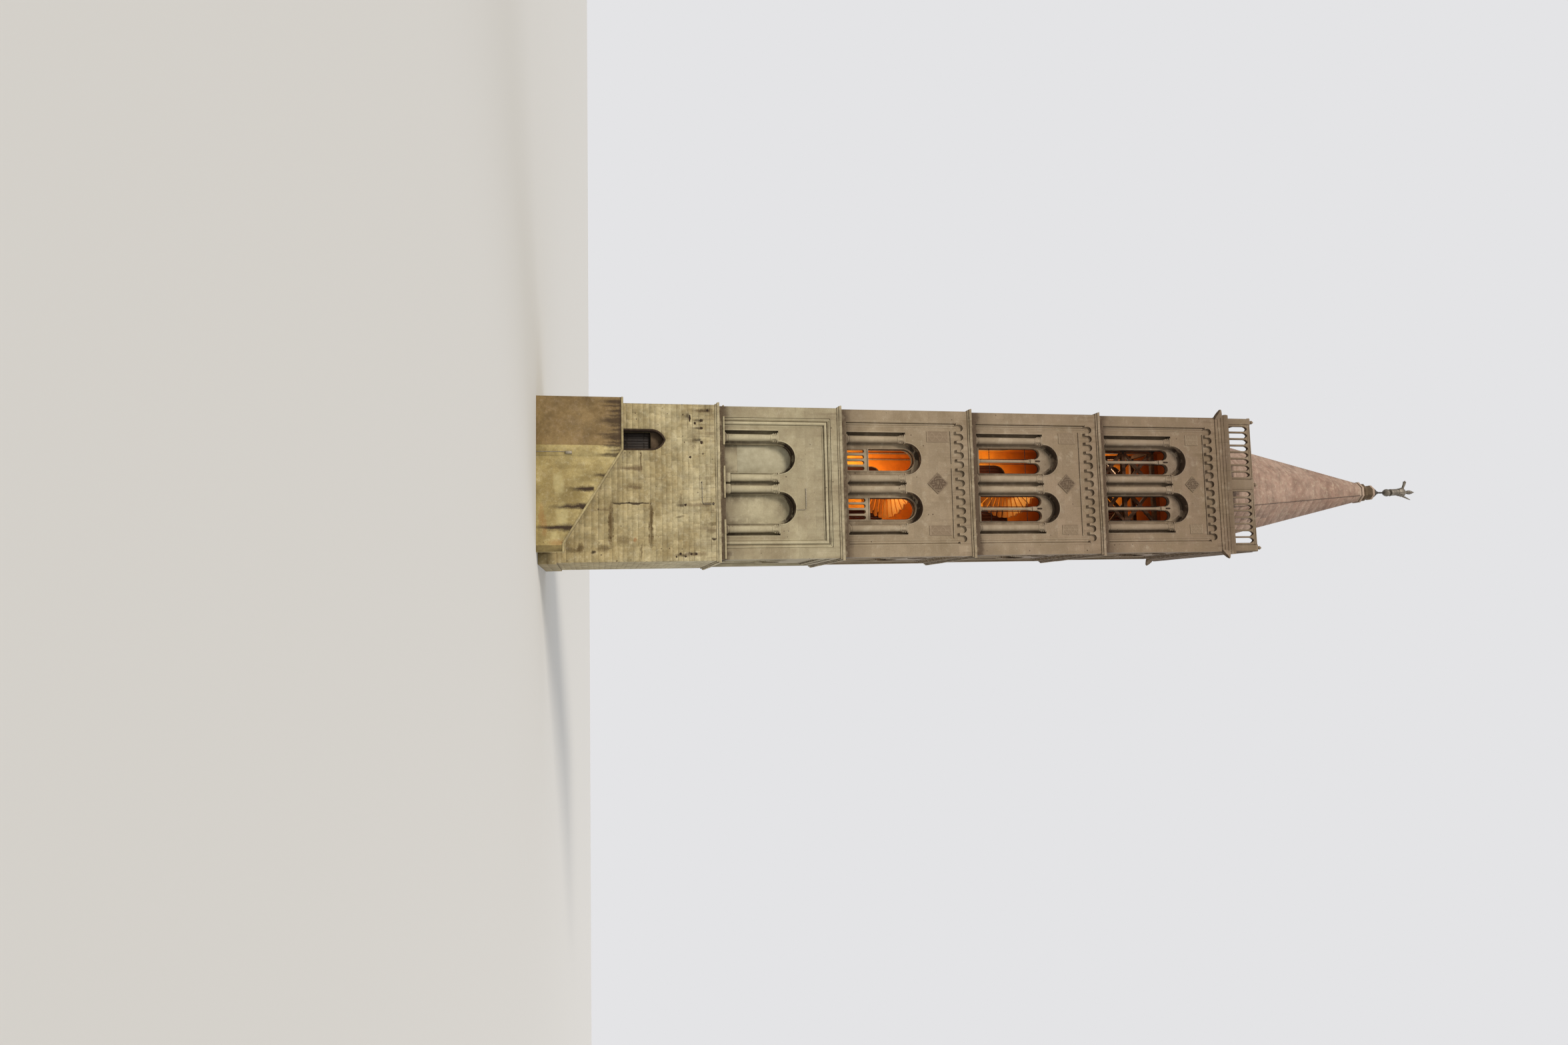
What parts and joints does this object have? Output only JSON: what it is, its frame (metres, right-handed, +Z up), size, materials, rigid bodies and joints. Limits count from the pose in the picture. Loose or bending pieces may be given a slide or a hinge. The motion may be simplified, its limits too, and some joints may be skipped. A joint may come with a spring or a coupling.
{
  "type": "half-scale bell tower",
  "caption": "Square stone bell tower at half size, with an outer stair, arched storeys, a balustraded terrace and an eight-sided spire with a figure.",
  "frame": {"origin": "middle of the tower's square footprint, on the ground", "axes": "+Z up, -Y towards the viewer of the side with the door, +X to that viewer's right"},
  "size_m": [4.4248, 5.0274, 27.9812],
  "materials": {
    "base_stone": "weathered limestone ashlar",
    "wall_stone": "weathered limestone",
    "pale_stone": "dressed limestone",
    "inner_stone": "plain limestone",
    "spire_stone": "pinkish limestone",
    "door_wood": "dark oiled planks",
    "frame_wood": "sawn beams",
    "iron": "forged iron",
    "figure_metal": "weathered bronze"
  },
  "bodies": {
    "tower": {"base_front_low": "base_stone", "base_front_left": "base_stone", "base_front_right": "base_stone", "base_front_upper": "base_stone", "base_left_wall": "base_stone", "base_right_wall": "base_stone", "base_back_wall": "base_stone", "door_pins": "iron", "outer_stair": "base_stone", "stair_parapet": "base_stone", "stair_coping": "base_stone", "cornices": "wall_stone", "storey_1_corner_piers": "wall_stone", "storey_1_middle_piers": "wall_stone", "storey_1_front_back_arches": "wall_stone", "storey_1_side_arches": "wall_stone", "storey_2_corner_piers": "wall_stone", "storey_2_middle_piers": "wall_stone", "storey_2_front_back_arches": "wall_stone", "storey_2_side_arches": "wall_stone", "storey_3_corner_piers": "wall_stone", "storey_3_middle_piers": "wall_stone", "storey_3_front_back_arches": "wall_stone", "storey_3_side_arches": "wall_stone", "storey_4_corner_piers": "wall_stone", "storey_4_middle_piers": "wall_stone", "storey_4_front_back_arches": "wall_stone", "storey_4_side_arches": "wall_stone", "wall_columns": "pale_stone", "blind_panels": "pale_stone", "window_parapets": "pale_stone", "window_sills": "wall_stone", "window_heads": "wall_stone", "colonnettes": "pale_stone", "floors": "inner_stone", "winding_stair": "inner_stone", "stair_newel": "inner_stone", "bell_frame": "frame_wood", "top_cornice": "wall_stone", "terrace": "wall_stone", "balustrade_panels": "pale_stone", "balustrade_posts": "pale_stone", "rain_spouts": "wall_stone", "spire": "spire_stone", "spire_finial": "spire_stone", "figure": "figure_metal"},
    "left_door": {"door_leaf_left": "door_wood"},
    "right_door": {"door_leaf_right": "door_wood"}
  },
  "joints": [
    {"name": "left_door_hinge", "type": "hinge", "parent": "tower", "child": "left_door", "pos_m": [-1.3375, -1.74, 1.65], "axis": [0, 0, 1], "range_deg": [0, 90]},
    {"name": "right_door_hinge", "type": "hinge", "parent": "tower", "child": "right_door", "pos_m": [-0.8925, -1.74, 1.65], "axis": [0, 0, -1], "range_deg": [0, 90]}
  ]
}
